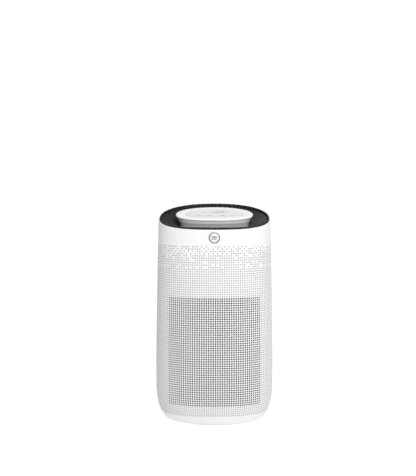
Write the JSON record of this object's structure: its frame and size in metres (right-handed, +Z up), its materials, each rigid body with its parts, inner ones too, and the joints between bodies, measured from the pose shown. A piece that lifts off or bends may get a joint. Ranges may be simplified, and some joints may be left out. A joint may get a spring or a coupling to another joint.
{
  "type": "air purifier",
  "caption": "Upright oval air purifier with a slanted finned top outlet, a raised touch panel, a pull-off front cover over a boxed filter and a scroll fan inside.",
  "frame": {"origin": "on the floor under the middle of the body", "axes": "+Z up, the front with the badge faces -Y, X runs along the width"},
  "size_m": [0.301, 0.1882, 0.5519],
  "materials": {
    "white_shell": "fine satin moulding",
    "touch_face": "smooth satin",
    "smoked_window": "polished",
    "grey_inner": "moulded",
    "charcoal_trim": "satin moulding",
    "pull_strap": "woven strap",
    "rubber": "matt",
    "lead_jacket": "smooth jacket",
    "steel": "machined",
    "aluminium": "extruded",
    "brass": "turned",
    "circuit_board": "solder mask",
    "wound_core": "varnished",
    "magnet": "plated",
    "bright_ring": "satin plated",
    "filter_card": "coated card",
    "filter_paper": "pleated fibre sheet",
    "carbon": "granule-filled fleece"
  },
  "bodies": {
    "casing": {"base_tray": "white_shell", "rear_shell": "white_shell", "control_pillar": "white_shell", "control_panel": "white_shell", "touch_overlay": "touch_face", "display_window": "smoked_window", "base_cover": "grey_inner", "hand_grip": "grey_inner", "sensor_pocket": "grey_inner", "filter_bay": "grey_inner", "scroll_wall": "grey_inner", "scroll_back": "grey_inner", "outlet_duct": "grey_inner", "cord_inlet": "charcoal_trim", "dust_sensor": "charcoal_trim", "fan_guard": "charcoal_trim", "outlet_bezel": "charcoal_trim", "outlet_fins": "charcoal_trim", "foot_1": "rubber", "foot_2": "rubber", "foot_3": "rubber", "foot_4": "rubber", "motor_lead": "lead_jacket", "panel_lead": "lead_jacket", "base_screw_1": "steel", "base_screw_2": "steel", "base_screw_3": "steel", "base_screw_4": "steel", "motor_screw_1": "steel", "motor_screw_2": "steel", "motor_screw_3": "steel", "motor_housing": "steel", "strike_plate_1": "steel", "strike_plate_2": "steel", "strike_plate_3": "steel", "strike_plate_4": "steel", "heat_sink": "aluminium", "inlet_pin_1": "brass", "inlet_pin_2": "brass", "main_board": "circuit_board", "control_board": "circuit_board", "transformer": "wound_core"},
    "rotor": {"impeller": "grey_inner", "motor_shaft": "steel", "impeller_nut": "brass"},
    "cover": {"front_cover": "white_shell", "cover_magnet_1": "magnet", "cover_magnet_2": "magnet", "cover_magnet_3": "magnet", "cover_magnet_4": "magnet", "badge_ring": "bright_ring", "badge_disc": "white_shell"},
    "filter": {"filter_frame": "filter_card", "filter_gasket": "rubber", "hepa_media": "filter_paper", "carbon_layer": "carbon", "pre_filter": "charcoal_trim", "filter_tab_1": "pull_strap", "filter_tab_2": "pull_strap"},
    "flap": {"sensor_flap": "white_shell"}
  },
  "joints": [
    {"name": "impeller_spin", "type": "hinge", "parent": "casing", "child": "rotor", "pos_m": [0, 0.02, 0.187], "axis": [0, 1, 0], "continuous": true},
    {"name": "cover_pull", "type": "slide", "parent": "casing", "child": "cover", "axis": [0, -1, 0], "range_m": [0, 0.25]},
    {"name": "filter_pull", "type": "slide", "parent": "casing", "child": "filter", "axis": [0, -1, 0], "range_m": [0, 0.1]},
    {"name": "flap_hinge", "type": "hinge", "parent": "casing", "child": "flap", "pos_m": [0, 0.0916, 0.3113], "axis": [1, 0, 0], "range_deg": [0, 95]}
  ],
  "couplings": [
    {"joint": "filter_pull", "follows": "cover_pull", "ratio": 0.4}
  ]
}
